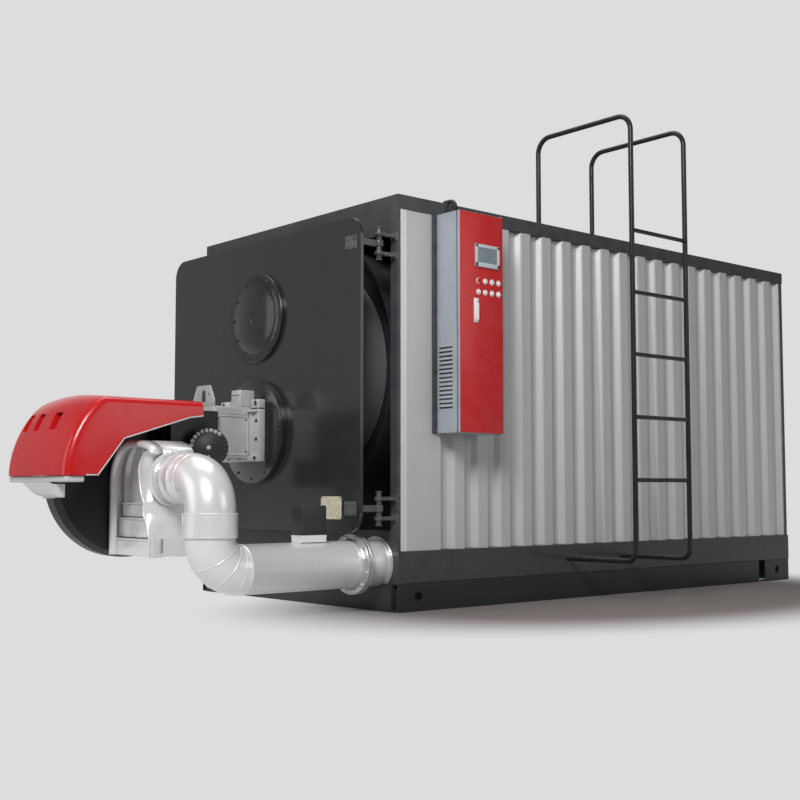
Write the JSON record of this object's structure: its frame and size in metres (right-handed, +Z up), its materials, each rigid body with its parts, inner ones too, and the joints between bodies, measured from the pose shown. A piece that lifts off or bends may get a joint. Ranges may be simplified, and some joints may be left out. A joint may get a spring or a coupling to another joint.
{
  "type": "industrial boiler",
  "caption": "Packaged gas-fired boiler in a ribbed steel casing, with a swing-open burner door, flue gas recirculation duct, control cabinet and roof ladder.",
  "frame": {"origin": "on the ground at the centre of the casing's base", "axes": "+X to the right seen from the burner end, +Y to the back, +Z up"},
  "size_m": [2.8515, 6.2067, 3.3045],
  "materials": {
    "frame_paint": "satin dark grey paint",
    "panel_grey": "light grey coated sheet",
    "vessel_steel": "heat-proof black paint",
    "hinge_steel": "grey paint",
    "door_paint": "glossy dark grey paint",
    "lining_steel": "heat-proof grey paint over cast lining",
    "cover_black": "black paint",
    "plate_cream": "bare cream plate",
    "disc_paint": "dark grey paint",
    "burner_alloy": "cast, lightly sanded",
    "bracket_steel": "zinc plated",
    "blast_steel": "heat-tinted steel",
    "hood_red": "gloss red paint",
    "tray_grey": "light grey",
    "burner_black": "satin black paint",
    "duct_silver": "bright sheet",
    "regulator_black": "black cast body",
    "actuator_black": "moulded",
    "bracket_white": "white paint",
    "cabinet_silver": "silver grey powder coat",
    "cabinet_red": "satin red paint",
    "screen_grey": "panel in a light frame",
    "button_white": "moulded",
    "handle_white": "moulded",
    "conduit_black": "sleeved conduit",
    "ladder_black": "black paint"
  },
  "bodies": {
    "casing": {"base_side_rails": "frame_paint", "base_cross_members": "frame_paint", "skirts": "frame_paint", "corner_posts": "frame_paint", "top_beams": "frame_paint", "front_header": "frame_paint", "front_lower_panel": "frame_paint", "cabinet_frame": "frame_paint", "roof_panel": "frame_paint", "side_panel_right": "panel_grey", "side_panel_left": "panel_grey", "rear_panel": "panel_grey", "vessel_shell": "vessel_steel", "tube_plate": "vessel_steel", "furnace_tube": "vessel_steel", "vessel_end_plate": "vessel_steel", "vessel_saddles": "vessel_steel", "door_hinge_lugs": "hinge_steel", "pipe_stub": "duct_silver", "cabinet_body": "cabinet_silver", "cable_conduit": "conduit_black", "ladder_rail_front": "ladder_black", "ladder_rail_rear": "ladder_black", "ladder_rungs": "ladder_black"},
    "boiler_door": {"door_plate": "door_paint", "door_lining": "lining_steel", "door_hinge_arms": "hinge_steel", "inspection_cover": "cover_black", "rating_plate": "plate_cream", "burner_mount_disc": "disc_paint", "burner_head": "burner_alloy", "blast_tube": "blast_steel", "servo_box": "burner_alloy", "lifting_bracket": "bracket_steel", "gas_regulator": "regulator_black", "burner_body": "burner_black", "burner_hood": "hood_red", "hood_tray": "tray_grey", "fan_volute": "burner_black", "intake_box": "duct_silver", "upper_elbow": "duct_silver", "duct_collar": "duct_silver", "lower_elbow": "duct_silver", "recirculation_pipe": "duct_silver", "damper_bracket": "bracket_white", "damper_actuator": "actuator_black"},
    "cabinet_door": {"cabinet_door_panel": "cabinet_red", "operator_screen": "screen_grey", "push_buttons": "button_white", "door_handle": "handle_white"}
  },
  "joints": [
    {"name": "boiler_door_swing", "type": "hinge", "parent": "casing", "child": "boiler_door", "pos_m": [1.087, -2.305, 1.453], "axis": [0, 0, 1], "range_deg": [0, 90]},
    {"name": "cabinet_door_swing", "type": "hinge", "parent": "casing", "child": "cabinet_door", "pos_m": [1.321, -1.478, 1.8075], "axis": [0, 0, 1], "range_deg": [0, 110]}
  ]
}
